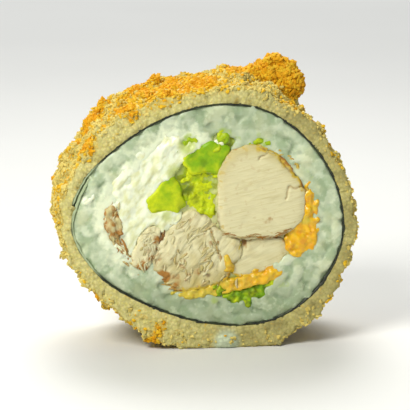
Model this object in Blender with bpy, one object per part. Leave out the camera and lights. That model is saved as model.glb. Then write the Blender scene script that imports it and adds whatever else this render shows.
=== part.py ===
"""One slice of a thick fried sushi roll, standing on its rounded edge.

The cut faces look along -Y and +Y, X runs across the slice and Z is up.
The origin is under the middle of the slice, in the flat spot that it rests on.
Sections are drawn in millimetres about the middle of the nori ring, as (x, z).
"""

import math
import random

import bmesh
import bpy
import numpy as np
from mathutils import Matrix, Vector, noise

MM = 0.001

# Driving sizes, in millimetres
THICKNESS = 25.0          # one eighth of a 200 mm roll
REST_LEVEL = -27.6        # the flat spot, below the middle of the nori ring
GAP = 0.35                # kept between neighbouring pieces
NORI_THICKNESS = 0.5
LAP_STEP = 0.85           # how far the inner end of the nori sheet sits below the outer one
LAP_START = math.radians(160)
LAP_TURN = math.radians(13)
RISE_TURN = math.radians(12)
FILLING_TWIST = math.radians(5)
FILLING_SHIFT = (0.7, -0.4)
CRUMB_COUNT = 64
GRAINS_PER_FACE = 17
GRAIN_HALF = (2.7, 1.15)  # half length and half width of a cooked grain
GRAIN_SUNK = 0.6          # how far a grain's axis lies below the cut face
RANDOM_SEED = 7

FRONT = -THICKNESS / 2
BACK = THICKNESS / 2
HUB = (0.0, -0.5)         # every ring is a radius about this point

# The nori ring is egg shaped, with its blunt end at +X
NORI_OUTLINE = [
    (-28.0, -1.5), (-25.6, 7.4), (-19.0, 14.2), (-10.0, 19.9), (0.5, 22.9), (11.0, 21.8), (20.4, 15.2),
    (26.4, 5.6), (27.7, -5.6), (22.6, -16.0), (13.0, -22.3), (1.0, -22.7), (-11.5, -18.8), (-22.5, -11.7),
]
# Depth of the crumb coating at angles in degrees about HUB: thickest underneath, where the batter ran
# together, and in a ridge on the upper left shoulder
COATING_DEPTHS = [
    (0, 2.8), (30, 2.7), (60, 3.2), (90, 3.2), (115, 4.1), (137, 4.8), (160, 2.6), (180, 2.2), (210, 3.8),
    (240, 5.8), (262, 6.9), (285, 6.5), (310, 4.3), (335, 3.0),
]

# The soft cheese, before the firm pieces press into it
CHEESE_OUTLINE = [
    (-7.4, 16.0), (-2.2, 15.4), (-2.6, 12.4), (-4.8, 9.4), (-6.7, 6.2), (-6.4, 2.4), (-5.2, -0.8),
    (-8.0, -4.4), (-12.6, -6.4), (-16.2, -8.0), (-19.0, -5.6), (-21.3, -2.0), (-20.7, 2.2), (-17.0, 6.2),
    (-13.6, 11.4),
]
CHEESE_CENTRE = (-13.1, 5.3)
CHEESE_NEIGHBOURS = [
    "avocado_top", "avocado_left", "avocado_sunk", "chicken_chunk", "chicken_shred", "chicken_fringe",
]

# Each firm piece as it was before the roll was pressed: its section, how far its cut ends stand proud
# at the front and the back, how rough they are, and its finish
FIRM_PIECES = {
    "chicken_strip": {
        "outline": [
            (2.6, 8.6), (4.6, 12.6), (8.2, 14.2), (12.0, 13.4), (15.4, 10.9), (18.2, 7.0), (19.3, 2.8),
            (18.5, -1.4), (15.4, -3.4), (10.0, -4.3), (4.4, -3.6), (2.5, -0.6), (2.2, 4.0),
        ],
        "proud": (0.7, -0.2), "rough": 0.16, "finish": "chicken",
    },
    "chicken_chunk": {
        "outline": [
            (-7.5, -2.2), (-3.7, 0.6), (-0.6, -1.2), (2.4, -4.1), (6.1, -5.5), (5.7, -8.6), (4.0, -10.6),
            (3.8, -12.7), (0.2, -14.4), (-4.0, -15.3), (-7.2, -14.7), (-9.6, -12.4), (-11.2, -9.6),
            (-9.8, -5.4),
        ],
        "proud": (0.2, 0.4), "rough": 0.42, "finish": "chicken",
    },
    "chicken_small": {
        "outline": [
            (7.9, -5.6), (11.4, -5.1), (14.8, -5.5), (15.6, -8.4), (14.4, -11.0), (10.4, -11.9),
            (5.7, -12.4), (5.2, -10.6), (7.0, -8.6),
        ],
        "proud": (-0.3, 0.3), "rough": 0.2, "finish": "chicken",
    },
    "chicken_shred": {
        "outline": [
            (-14.3, -5.0), (-12.9, -2.7), (-10.3, -1.8), (-10.4, -5.0), (-12.2, -8.6), (-13.0, -10.5),
            (-15.4, -9.2),
        ],
        "proud": (0.4, -0.5), "rough": 0.4, "finish": "chicken",
    },
    "chicken_fringe": {
        "outline": [(-20.8, 1.1), (-19.4, 2.5), (-18.2, -0.2), (-17.9, -3.6), (-19.1, -4.4), (-20.3, -2.6)],
        "proud": (0.5, 0.1), "rough": 0.35, "finish": "chicken",
    },
    "avocado_top": {
        "outline": [
            (-4.4, 12.4), (-3.0, 14.0), (0.6, 14.5), (3.3, 13.5), (2.2, 10.8), (0.9, 9.3), (-3.2, 9.4),
        ],
        "proud": (0.4, -0.6), "rough": 0.12, "finish": "avocado",
    },
    "avocado_left": {
        "outline": [
            (-12.4, 2.2), (-10.2, 6.0), (-7.9, 8.0), (-6.4, 6.2), (-5.7, 3.4), (-6.2, 1.5), (-9.4, 1.2),
        ],
        "proud": (0.3, 0.2), "rough": 0.12, "finish": "avocado",
    },
    "avocado_middle": {
        "outline": [
            (-3.1, 8.4), (1.2, 8.4), (1.7, 5.0), (1.6, -0.4), (-0.6, 0.5), (-4.3, 2.6), (-5.0, 5.0),
        ],
        "proud": (-0.7, -0.3), "rough": 0.5, "finish": "avocado",
    },
    "avocado_sunk": {
        "outline": [(-6.7, 9.0), (-5.4, 10.6), (-4.2, 8.9), (-5.2, 7.3)],
        "proud": (-2.4, -1.6), "rough": 0.3, "finish": "avocado",
    },
    "avocado_tip": {
        "outline": [(1.9, 16.4), (2.8, 17.7), (4.0, 16.5), (3.7, 15.2), (2.2, 15.2)],
        "proud": (0.2, -0.4), "rough": 0.2, "finish": "avocado",
    },
    "avocado_under": {
        "outline": [
            (2.0, -17.0), (5.4, -16.1), (9.6, -15.2), (14.0, -14.0), (12.4, -16.3), (8.6, -19.1),
            (5.0, -18.6),
        ],
        "proud": (-0.4, 0.0), "rough": 0.4, "finish": "avocado",
    },
    "cheddar_side": {
        "outline": [
            (20.3, 6.2), (22.2, 2.4), (22.4, -2.6), (21.0, -7.7), (18.2, -8.8), (16.1, -6.2), (17.4, -3.3),
            (19.9, -0.6), (19.9, 3.0),
        ],
        "proud": (0.1, -0.3), "rough": 0.3, "finish": "cheddar",
    },
    "cheddar_under": {
        "outline": [
            (-7.9, -16.0), (-4.0, -15.7), (0.0, -15.1), (4.4, -14.0), (9.2, -12.9), (15.0, -11.6),
            (14.4, -12.8), (9.4, -14.2), (4.6, -15.3), (0.2, -16.3), (-4.2, -16.7),
        ],
        "proud": (0.1, 0.1), "rough": 0.15, "finish": "cheddar",
    },
}
PRESS_REACH = 1.8         # pieces closer than this are pressed against each other
PRESS_ROUNDS = 6

# The heap of browned crumbs on the shoulder of the slice
HEAP_BEARING = math.radians(58)
HEAP_LEAN = math.radians(72)  # it stands more upright than the face under it
HEAP_DEPTH = 4.5
HEAP_HALF = (4.4, 4.9, 8.2)   # half width, half depth and height
HEAP_CRUMBS = 18
# The drop of batter that set under the front rim
DROP_PLACE = (3.6, -26.2)

FINISHES = {
    "coating": {"colour": (0.56, 0.36, 0.12), "roughness": 0.8},
    "nori": {"colour": (0.012, 0.02, 0.012), "roughness": 0.45},
    "rice": {"colour": (0.72, 0.76, 0.7), "roughness": 0.5},
    "cream_cheese": {"colour": (0.86, 0.87, 0.78), "roughness": 0.4},
    "chicken": {"colour": (0.74, 0.62, 0.42), "roughness": 0.6},
    "avocado": {"colour": (0.34, 0.52, 0.03), "roughness": 0.4},
    "cheddar": {"colour": (0.9, 0.5, 0.03), "roughness": 0.4},
}


def smooth_loop(points, steps=10):
    """A closed Catmull-Rom curve through the points."""
    curve = []
    count = len(points)
    for i in range(count):
        a, b, c, d = (np.array(points[(i + k) % count]) for k in (-1, 0, 1, 2))
        for step in range(steps):
            t = step / steps
            bend = 2 * a - 5 * b + 4 * c - d
            turn = 3 * b - a - 3 * c + d
            curve.append(b + 0.5 * ((c - a) * t + bend * t**2 + turn * t**3))
    return np.array(curve)


def spaced(loop, count):
    """The same closed loop with its points at equal distances."""
    closed = np.vstack([loop, loop[:1]])
    along = np.concatenate([[0], np.cumsum(np.linalg.norm(np.diff(closed, axis=0), axis=1))])
    places = np.linspace(0, along[-1], count, endpoint=False)
    return np.column_stack([np.interp(places, along, closed[:, k]) for k in (0, 1)])


def perimeter(loop):
    return float(np.linalg.norm(np.roll(loop, -1, axis=0) - loop, axis=1).sum())


def outward_normals(loop):
    tangent = np.roll(loop, -1, axis=0) - np.roll(loop, 1, axis=0)
    normals = np.column_stack([tangent[:, 1], -tangent[:, 0]])
    normals /= np.linalg.norm(normals, axis=1)[:, None]
    turning = np.sum(loop[:, 0] * np.roll(loop[:, 1], -1) - loop[:, 1] * np.roll(loop[:, 0], -1))
    return normals if turning > 0 else -normals


def pressed_together(loops):
    """The sections after pressing: each point moves until its piece is GAP from the nearest other piece."""
    loops = [spaced(loop, round(perimeter(loop) / 0.4)) for loop in loops]
    for _ in range(PRESS_ROUNDS):
        moved = []
        for i, loop in enumerate(loops):
            others = np.vstack(loops[:i] + loops[i + 1:])
            away = others[None, :, :] - loop[:, None, :]
            distance = np.linalg.norm(away, axis=2)
            nearest = distance.argmin(axis=1)
            span = distance.min(axis=1)
            towards = away[np.arange(len(loop)), nearest] / span[:, None]
            facing = np.sum(towards * outward_normals(loop), axis=1)
            share = np.clip(2 * (1 - span / PRESS_REACH), 0, 1) * np.clip(2 * facing, 0, 1)
            step = towards * (0.5 * share * (span - GAP - 0.05))[:, None]
            for _ in range(3):
                step = (np.roll(step, 1, axis=0) + 2 * step + np.roll(step, -1, axis=0)) / 4
            moved.append(loop + step)
        loops = moved
    return loops


def reach_function(loops):
    """How far the filling reaches from HUB against angle, with GAP left round it."""
    loops = np.vstack(loops) - np.array(HUB)
    angles = np.arctan2(loops[:, 1], loops[:, 0])
    radii = np.linalg.norm(loops, axis=1)

    def reach(angle):
        turned = np.abs((angles - angle + math.pi) % math.tau - math.pi)
        return float(radii[turned < math.radians(5)].max()) + GAP

    return reach


def radius_function(points):
    """Radius about HUB against angle, for an outline that HUB sees all of."""
    loop = smooth_loop(points) - np.array(HUB)
    angles = np.arctan2(loop[:, 1], loop[:, 0])
    order = np.argsort(angles)
    angles, radii = angles[order], np.linalg.norm(loop, axis=1)[order]

    def radius(angle):
        return float(np.interp(angle, angles, radii, period=math.tau))

    return radius


def on_ring(radius, angle):
    return np.array([HUB[0] + radius * math.cos(angle), HUB[1] + radius * math.sin(angle)])


def smooth_step(value):
    value = min(max(value, 0.0), 1.0)
    return value * value * (3 - 2 * value)


def lap_depth(angle):
    """How far the rice gives way to the inner end of the nori sheet."""
    turned = (angle - LAP_START) % math.tau
    if turned > math.pi * 1.9:
        return LAP_STEP * smooth_step((math.radians(11) - (math.tau - turned)) / math.radians(6))
    return LAP_STEP * smooth_step(1 - (turned - LAP_TURN) / RISE_TURN)


def lap_dip(angle):
    """How far the coating sinks in behind the outer end of the nori sheet."""
    turned = (angle - LAP_START) % math.tau - LAP_TURN
    if turned < math.radians(4) or turned > RISE_TURN:
        return 0.0
    return LAP_STEP * smooth_step(1 - turned / RISE_TURN)


def drifted(point, y):
    """A point of the filling at depth y: the filling turns and shifts a little along the roll."""
    share = (y - FRONT) / THICKNESS
    cos, sin = math.cos(FILLING_TWIST), math.sin(FILLING_TWIST)
    far = np.array([
        point[0] * cos - point[1] * sin + FILLING_SHIFT[0],
        point[0] * sin + point[1] * cos + FILLING_SHIFT[1],
    ])
    return np.array(point) * (1 - share) + far * share


def placed(x, y, z):
    """A point of the section as a point of the slice, in metres."""
    return Vector((x, y, z - REST_LEVEL)) * MM


def finish_of(name):
    """The plain material of one kind of food."""
    material = bpy.data.materials.get(name)
    if material is None:
        material = bpy.data.materials.new(name)
        material.use_nodes = True
        shader = material.node_tree.nodes["Principled BSDF"]
        shader.inputs["Base Color"].default_value = (*FINISHES[name]["colour"], 1.0)
        shader.inputs["Roughness"].default_value = FINISHES[name]["roughness"]
        shader.inputs["Metallic"].default_value = 0.0
    return material


def new_object(name, bm, finish):
    """A named object from the mesh in bm, with its faces turned outwards."""
    bmesh.ops.recalc_face_normals(bm, faces=bm.faces)
    mesh = bpy.data.meshes.new(name)
    bm.to_mesh(mesh)
    bm.free()
    mesh.shade_smooth()
    mesh.set_sharp_from_angle(angle=math.radians(40))
    obj = bpy.data.objects.new(name, mesh)
    bpy.context.scene.collection.objects.link(obj)
    if finish:
        mesh.materials.append(finish_of(finish))
    return obj


def join_rows(bm, rows, closed_rows, closed_across):
    """Faces between neighbouring rows of vertices."""
    last_row = len(rows) if closed_rows else len(rows) - 1
    across = len(rows[0]) if closed_across else len(rows[0]) - 1
    for i in range(last_row):
        a, b = rows[i], rows[(i + 1) % len(rows)]
        for j in range(across):
            k = (j + 1) % len(a)
            bm.faces.new((a[j], a[k], b[k], b[j]))


def ring_object(name, rows, finish):
    """A closed ring from loops of points that go once round its wall."""
    bm = bmesh.new()
    vertices = [[bm.verts.new(point) for point in row] for row in rows]
    join_rows(bm, vertices, True, True)
    return new_object(name, bm, finish)


def plug_object(name, loops, front_tip, back_tip, finish):
    """A closed plug from nested loops of points, with one point at the middle of each end."""
    bm = bmesh.new()
    vertices = [[bm.verts.new(point) for point in loop] for loop in loops]
    join_rows(bm, vertices, False, True)
    for loop, tip in ((vertices[0], front_tip), (vertices[-1], back_tip)):
        middle = bm.verts.new(tip)
        for j in range(len(loop)):
            bm.faces.new((loop[j], loop[(j + 1) % len(loop)], middle))
    return new_object(name, bm, finish)


def keep_largest_shell(obj):
    """Drops loose scraps, the walls of sealed hollows and whatever hangs on by a single point."""
    bm = bmesh.new()
    bm.from_mesh(obj.data)
    bmesh.ops.remove_doubles(bm, verts=bm.verts, dist=0.000001)
    unseen = set(bm.faces)
    shells = []
    while unseen:
        shell, border = [], [unseen.pop()]
        while border:
            face = border.pop()
            shell.append(face)
            for edge in face.edges:
                if len(edge.link_faces) == 2:
                    for other in edge.link_faces:
                        if other in unseen:
                            unseen.discard(other)
                            border.append(other)
        shells.append(shell)
    shells.sort(key=len)
    loose = [face for shell in shells[:-1] for face in shell]
    bmesh.ops.delete(bm, geom=loose, context="FACES")
    bm.to_mesh(obj.data)
    bm.free()


def combine(obj, operation, pieces):
    """One Boolean of the object with all the pieces, which are then removed."""
    collection = bpy.data.collections.new("pieces")
    bpy.context.scene.collection.children.link(collection)
    for piece in pieces:
        bpy.context.scene.collection.objects.unlink(piece)
        collection.objects.link(piece)
    modifier = obj.modifiers.new("combine", "BOOLEAN")
    modifier.operation = operation
    modifier.operand_type = "COLLECTION"
    modifier.collection = collection
    modifier.solver = "EXACT"
    bpy.context.view_layer.objects.active = obj
    bpy.ops.object.modifier_apply(modifier=modifier.name)
    for piece in pieces:
        bpy.data.objects.remove(piece)
    bpy.data.collections.remove(collection)
    keep_largest_shell(obj)


def crag_height(x, y, z):
    """The height of the crumb coating's crags at a place on its outer face."""
    place = Vector((x, y, z))
    lumps = 1.7 * (0.45 - noise.voronoi(place / 3.6)[0][0])
    swell = 0.5 * noise.noise(place / 9.0)
    flakes = 0.9 * (noise.cell(place / 1.15 + Vector((50, 50, 50))) - 0.5)
    return lumps + swell + flakes


def coating_row(radius, y, relief, around):
    """One loop of the coating; relief scales the crags on it, which never pass below the flat spot."""
    row = []
    for step in range(around):
        angle = math.tau * step / around
        x, z = on_ring(radius(angle), angle)
        slip = 0.12 * noise.noise(Vector((x, z, 80 + y)) / 1.7)
        if relief:
            x, z = on_ring(radius(angle) + crag_height(x, y, z) * relief, angle)
            slip = 0.6 * noise.noise(Vector((x, z, 40 + y)) / 1.9)
        row.append(placed(x, y + slip, max(z, REST_LEVEL)))
    return row


def rough_crumb(name, centre, outward, size, chance):
    """A flat, jagged crumb that lies on the coating."""
    bm = bmesh.new()
    bmesh.ops.create_icosphere(bm, subdivisions=1, radius=1)
    stretch = (chance.uniform(1.0, 1.5), chance.uniform(0.75, 1.1), chance.uniform(0.55, 0.8))
    for vertex in bm.verts:
        jagged = [along * scale * chance.uniform(0.72, 1.2) for along, scale in zip(vertex.co, stretch)]
        vertex.co = Vector(jagged) * size * MM
    turn = outward.to_track_quat("Z", "Y").to_matrix().to_4x4()
    spin = Matrix.Rotation(chance.uniform(0, math.tau), 4, "Z")
    tilt = Matrix.Rotation(chance.uniform(-0.7, 0.7), 4, "X")
    bm.transform(Matrix.Translation(centre) @ turn @ spin @ tilt)
    return new_object(name, bm, None)


def scattered_crumbs(radius, chance):
    """The largest crumbs, spread evenly over the outer face."""
    crumbs = []
    for i in range(CRUMB_COUNT):
        angle = math.tau * ((0.5 + 0.7548776 * i) % 1)
        y = FRONT + THICKNESS * (0.04 + 0.92 * ((0.5 + 0.5698403 * i) % 1))
        size = chance.uniform(0.9, 1.6)
        x, z = on_ring(radius(angle) + 0.35, angle)
        if z - 1.6 * size < REST_LEVEL:
            continue
        outward = Vector((math.cos(angle), 0, math.sin(angle)))
        crumbs.append(rough_crumb(f"crumb_{i}", placed(x, y, z), outward, size, chance))
    return crumbs


def heaped_crumbs(radius, chance):
    """The heap of browned crumbs on the shoulder: a lump of batter with crumbs stuck all over it."""
    outward = Vector((math.cos(HEAP_LEAN), 0, math.sin(HEAP_LEAN)))
    x, z = on_ring(radius(HEAP_BEARING) - 1.0, HEAP_BEARING)
    base = placed(x, HEAP_DEPTH, z)
    turn = outward.to_track_quat("Z", "Y").to_matrix()
    size = Matrix.Diagonal([(half - 0.8) * MM for half in HEAP_HALF])
    bm = bmesh.new()
    bmesh.ops.create_icosphere(bm, subdivisions=2, radius=1)
    for vertex in bm.verts:
        lump = vertex.co * chance.uniform(0.85, 1.1)
        lump.z = max(lump.z, -0.15)
        vertex.co = base + turn @ size @ lump
    crumbs = [new_object("heap", bm, None)]
    for i in range(HEAP_CRUMBS):
        up = (i + 0.5) / HEAP_CRUMBS
        flat = math.sqrt(1 - up * up)
        way = Vector((flat * math.cos(2.399963 * i), flat * math.sin(2.399963 * i), up))
        centre = base + turn @ size @ way
        crumbs.append(rough_crumb(f"heap_{i}", centre, turn @ way, chance.uniform(1.2, 1.8), chance))
    return crumbs


def batter_drop():
    """The pale drop of batter under the front rim, flat where it meets the table."""
    bm = bmesh.new()
    bmesh.ops.create_icosphere(bm, subdivisions=2, radius=1)
    for vertex in bm.verts:
        x = DROP_PLACE[0] + 3.1 * vertex.co.x
        y = FRONT + 0.6 + 1.5 * vertex.co.y
        z = DROP_PLACE[1] + 1.8 * vertex.co.z
        vertex.co = placed(x, y, max(z, REST_LEVEL))
    bmesh.ops.remove_doubles(bm, verts=bm.verts, dist=0.00002)
    return new_object("drop", bm, None)


def make_coating(nori_radius):
    """The fried crumb coating: a craggy outer face, two flat cut faces and a plain bore."""
    around, deep = 112, 13
    angles, depths = np.radians([at for at, _ in COATING_DEPTHS]), [depth for _, depth in COATING_DEPTHS]

    def bore(angle):
        return nori_radius(angle) + GAP - lap_dip(angle)

    def outer_radius(angle):
        return nori_radius(angle) + float(np.interp(angle, angles, depths, period=math.tau))

    def middle(angle):
        return 0.5 * (bore(angle) + outer_radius(angle))

    rows = [coating_row(bore, FRONT, 0, around), coating_row(middle, FRONT, 0, around)]
    for i in range(deep):
        share = i / (deep - 1)
        relief = 0.75 if i in (0, deep - 1) else 1.0
        rows.append(coating_row(outer_radius, FRONT + THICKNESS * share, relief, around))
    rows += [coating_row(middle, BACK, 0, around), coating_row(bore, BACK, 0, around)]
    coating = ring_object("crumb_coating", rows, "coating")
    chance = random.Random(RANDOM_SEED)
    crumbs = scattered_crumbs(outer_radius, chance) + heaped_crumbs(outer_radius, chance)
    combine(coating, "UNION", [*crumbs, batter_drop()])


def make_nori(nori_radius):
    """The nori sheet: it goes once round the rice and laps under itself at the narrow end."""
    stations = 90
    sweep = math.tau + LAP_TURN
    rows = []
    for i in range(stations + 1):
        turned = sweep * i / stations
        angle = LAP_START + turned
        drop = LAP_STEP * smooth_step(1 - (turned - LAP_TURN) / RISE_TURN) if turned < math.pi else 0.0
        outer = nori_radius(angle) - drop
        ruffle = 0.22 * noise.noise(Vector((turned * 9, 0, 5)))
        front, back = FRONT + 0.1 + ruffle, BACK - 0.1 + ruffle
        outside, inside = on_ring(outer, angle), on_ring(outer - NORI_THICKNESS, angle)
        corners = ((outside, front), (outside, back), (inside, back), (inside, front))
        rows.append([placed(x, y, z) for (x, z), y in corners])
    bm = bmesh.new()
    vertices = [[bm.verts.new(point) for point in row] for row in rows]
    join_rows(bm, vertices, False, True)
    bm.faces.new(vertices[0])
    bm.faces.new(vertices[-1])
    return new_object("nori_sheet", bm, "nori")


def rice_grain(name, centre, bearing):
    """One cooked grain, sunk into a cut face of the rice."""
    bm = bmesh.new()
    bmesh.ops.create_uvsphere(bm, u_segments=6, v_segments=4, radius=1)
    length, width = GRAIN_HALF
    turn = Matrix.Rotation(-bearing, 4, "Y") @ Matrix.Rotation(math.radians(90), 4, "Y")
    size = Matrix.Diagonal((width * MM, width * MM, length * MM, 1))
    bm.transform(Matrix.Translation(centre) @ turn @ size)
    return new_object(name, bm, None)


def make_rice(nori_radius, hollow_radius):
    """The rice round the filling, with grain-sized bumps and some whole grains on both cut faces."""
    around = 84
    shares = (0.0, 0.28, 0.64, 1.0)

    def point(angle, share, y):
        inner = drifted(on_ring(hollow_radius(angle), angle), y)
        outer = on_ring(nori_radius(angle) - NORI_THICKNESS - GAP - lap_depth(angle), angle)
        return inner * (1 - share) + outer * share

    def row(share, y, side):
        made = []
        for step in range(around):
            x, z = point(math.tau * step / around, share, y)
            bump = 0.3 * noise.noise(Vector((x * 0.45, y, z * 0.45))) if 0 < share < 1 else -0.25
            made.append(placed(x, y + side * bump, z))
        return made

    rows = [row(share, FRONT, -1) for share in shares] + [row(share, BACK, 1) for share in reversed(shares)]
    rice = ring_object("rice", rows, "rice")
    chance = random.Random(RANDOM_SEED)
    grains = []
    for side, y in ((-1, FRONT), (1, BACK)):
        for i in range(GRAINS_PER_FACE):
            angle = math.tau * (i + chance.uniform(0.1, 0.9)) / GRAINS_PER_FACE
            inner, outer = point(angle, 0, y), point(angle, 1, y)
            room = np.linalg.norm(outer - inner) / 2 - 0.4 - GRAIN_HALF[1]
            lean = math.asin(min(1.0, max(0.0, room) / GRAIN_HALF[0])) * chance.uniform(-0.9, 0.9)
            x, z = (inner + outer) / 2
            centre = placed(x, y - side * GRAIN_SUNK, z)
            grains.append(rice_grain(f"grain_{side}_{i}", centre, angle + math.pi / 2 + lean))
    combine(rice, "UNION", grains)


def mesh_loop(loop):
    """The section with as many points as the mesh needs."""
    return spaced(loop, max(14, round(perimeter(loop) / 1.9)))


def cut_end_relief(x, z, depth, strength):
    """The roughness of a cut end."""
    return strength * noise.noise(Vector((x, z, depth)) / 1.6)


def make_plug(name, section, proud, rough, finish, centre=None):
    """A piece of filling that runs through the slice, with softly rounded, uneven cut ends."""
    loop = mesh_loop(section)
    hub = np.array(centre) if centre else loop.mean(axis=0)
    reach = float(np.linalg.norm(loop - hub, axis=1).mean())
    shares = (1.0, 0.86, 0.45) if reach < 6 else (1.0, 0.9, 0.62, 0.3)
    set_back = 0.3

    def end_loops(y, side):
        made = []
        for share in shares:
            points = []
            for x, z in hub + (loop - hub) * share:
                rise = -set_back if share == 1.0 else cut_end_relief(x, z, y, rough)
                level = y + side * rise
                points.append(placed(*np.insert(drifted((x, z), level), 1, level)))
            made.append(points)
        return made

    front, back = FRONT - proud[0], BACK + proud[1]
    tips = [placed(*np.insert(drifted(hub, y), 1, y)) for y in (front, back)]
    return plug_object(name, end_loops(front, -1)[::-1] + end_loops(back, 1), *tips, finish)


def make_cutter(name, section):
    """The room that a firm piece needs in the soft cheese."""
    loop = mesh_loop(section)
    loop = loop + outward_normals(loop) * GAP
    hub = loop.mean(axis=0)
    ends = [FRONT - 4, BACK + 4]
    loops = [[placed(*np.insert(drifted(point, y), 1, y)) for point in loop] for y in ends]
    tips = [placed(*np.insert(drifted(hub, y), 1, y)) for y in ends]
    return plug_object(name, loops, *tips, None)


def make_cheese(sections):
    """The cream cheese, pressed round the firm pieces beside it."""
    section = smooth_loop(CHEESE_OUTLINE)
    cheese = make_plug("cream_cheese", section, (0.1, 0.1), 0.22, "cream_cheese", CHEESE_CENTRE)
    cutters = [make_cutter(f"room_for_{name}", sections[name]) for name in CHEESE_NEIGHBOURS]
    combine(cheese, "DIFFERENCE", cutters)


def set_on_origin():
    """Moves the slice so that the origin is at the middle of its underside."""
    meshes = [obj.data for obj in bpy.data.objects]
    places = np.array([vertex.co for mesh in meshes for vertex in mesh.vertices])
    low, high = places.min(axis=0), places.max(axis=0)
    shift = Matrix.Translation((-(low[0] + high[0]) / 2, -(low[1] + high[1]) / 2, -low[2]))
    for mesh in meshes:
        mesh.transform(shift)


def main():
    for obj in list(bpy.data.objects):
        bpy.data.objects.remove(obj)
    pressed = pressed_together([smooth_loop(piece["outline"]) for piece in FIRM_PIECES.values()])
    sections = dict(zip(FIRM_PIECES, pressed))
    nori_radius = radius_function(NORI_OUTLINE)
    make_coating(nori_radius)
    make_nori(nori_radius)
    make_rice(nori_radius, reach_function([smooth_loop(CHEESE_OUTLINE), *pressed]))
    for name, piece in FIRM_PIECES.items():
        make_plug(name, sections[name], piece["proud"], piece["rough"], piece["finish"])
    make_cheese(sections)
    set_on_origin()


main()
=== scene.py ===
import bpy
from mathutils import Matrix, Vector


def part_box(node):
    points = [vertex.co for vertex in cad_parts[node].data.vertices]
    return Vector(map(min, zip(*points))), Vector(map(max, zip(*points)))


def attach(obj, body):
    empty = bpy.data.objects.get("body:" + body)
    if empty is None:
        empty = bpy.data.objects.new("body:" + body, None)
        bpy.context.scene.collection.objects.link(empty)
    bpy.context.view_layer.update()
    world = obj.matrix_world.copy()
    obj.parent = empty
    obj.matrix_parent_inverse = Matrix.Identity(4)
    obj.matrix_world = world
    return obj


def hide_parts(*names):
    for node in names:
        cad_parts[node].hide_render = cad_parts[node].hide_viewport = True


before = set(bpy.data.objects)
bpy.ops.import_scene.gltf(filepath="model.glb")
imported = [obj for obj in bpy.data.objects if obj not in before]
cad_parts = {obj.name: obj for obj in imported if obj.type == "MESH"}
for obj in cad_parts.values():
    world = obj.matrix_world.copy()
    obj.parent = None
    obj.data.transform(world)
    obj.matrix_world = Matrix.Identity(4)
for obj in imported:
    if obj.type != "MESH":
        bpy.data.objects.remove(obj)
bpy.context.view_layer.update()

import math

import bpy
import numpy as np
from mathutils import Vector, noise
from mathutils.bvhtree import BVHTree
from mathutils.kdtree import KDTree

# Lengths below are in millimetres, seen from the middle of the nori ring: x to the right, y away, z up
mm = 0.001
noriLow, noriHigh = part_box("nori_sheet")
middle = (noriLow + noriHigh) / (2 * mm)
halfThickness = 12.5
# how far from the middle plane a ray starts that looks for a cut face
rayStart = 20
# without a seed, the cracks in the meat would wander differently on each run
noise.seed_set(4)


def deselectAll():
    for piece in list(bpy.context.selected_objects):
        piece.select_set(False)


def makeActive(piece):
    deselectAll()
    piece.select_set(True)
    bpy.context.view_layer.objects.active = piece


def editAll(operation, **settings):
    # one edit of the whole active mesh
    bpy.ops.object.mode_set(mode="EDIT")
    bpy.ops.mesh.select_all(action="SELECT")
    operation(**settings)
    bpy.ops.object.mode_set(mode="OBJECT")


def copyNode(pieceName, nodeName):
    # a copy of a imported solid, with the points merged that its faces share
    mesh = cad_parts[nodeName].data.copy()
    mesh.name = pieceName
    mesh.materials.clear()
    piece = bpy.data.objects.new(pieceName, mesh)
    bpy.context.scene.collection.objects.link(piece)
    makeActive(piece)
    editAll(bpy.ops.mesh.remove_doubles, threshold=0.000002)
    return piece


def modified(piece, kind, **settings):
    makeActive(piece)
    modifier = piece.modifiers.new("step", kind)
    for name, value in settings.items():
        setattr(modifier, name, value)
    bpy.ops.object.modifier_apply(modifier=modifier.name)
    return piece


def remeshed(piece, voxel):
    return modified(piece, "REMESH", mode="VOXEL", voxel_size=voxel * mm)


def smoothed(piece, rounds):
    return modified(piece, "SMOOTH", factor=0.5, iterations=rounds)


def placesAndNormals(piece):
    # both as rows, with the places in millimetres from the middle of the ring
    mesh = piece.data
    places = np.empty(len(mesh.vertices) * 3, np.float32)
    normals = np.empty(len(mesh.vertices) * 3, np.float32)
    mesh.vertices.foreach_get("co", places)
    mesh.vertex_normals.foreach_get("vector", normals)
    return places.reshape(-1, 3) / mm - np.array(middle), normals.reshape(-1, 3)


def setPlaces(piece, places):
    piece.data.vertices.foreach_set("co", ((places + np.array(middle)) * mm).astype(np.float32).ravel())
    piece.data.update()


def pushOut(piece, heightAt):
    # moves each point along its normal by heightAt(place, normal)
    places, normals = placesAndNormals(piece)
    heights = [heightAt(Vector(place), Vector(normal)) for place, normal in zip(places, normals)]
    places += normals * np.array(heights)[:, None]
    setPlaces(piece, places)


def pushSides(piece, heightAt):
    # moves the side walls out by heightAt(place), and leaves the cut faces
    pushOut(piece, lambda place, normal: heightAt(place) * (1 - abs(normal.y)))


def paint(piece, layer, values):
    attribute = piece.data.attributes.new(layer, "FLOAT", "POINT")
    attribute.data.foreach_set("value", np.clip(np.array(values, np.float32), 0, 1))


def paintSpots(piece, **layers):
    # layers of soft round spots, as spotsAt takes them
    places, _ = placesAndNormals(piece)
    for layer, spots in layers.items():
        paint(piece, layer, [spotsAt(place, spots) for place in places])


def noiseAt(place, size, shift=(0, 0, 0)):
    return noise.noise(Vector(place) / size + Vector(shift))


def cellAt(place, size):
    # how far the place lies from the middle of its cell
    return noise.voronoi(place / size)[0][0]


def smoothStep(low, high, value):
    share = min(max((value - low) / (high - low), 0.0), 1.0)
    return share * share * (3 - 2 * share)


def bearingOf(place):
    return math.degrees(math.atan2(place[2], place[0]))


def wrapped(turn):
    return (turn + 180) % 360 - 180


def closeness(place, centre, reach, inner, outer=1.0):
    # 1 near a centre, 0 far from it; inner and outer are shares of the reach
    return 1 - smoothStep(inner, outer, (Vector(place) - Vector(centre)).length / reach)


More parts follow.
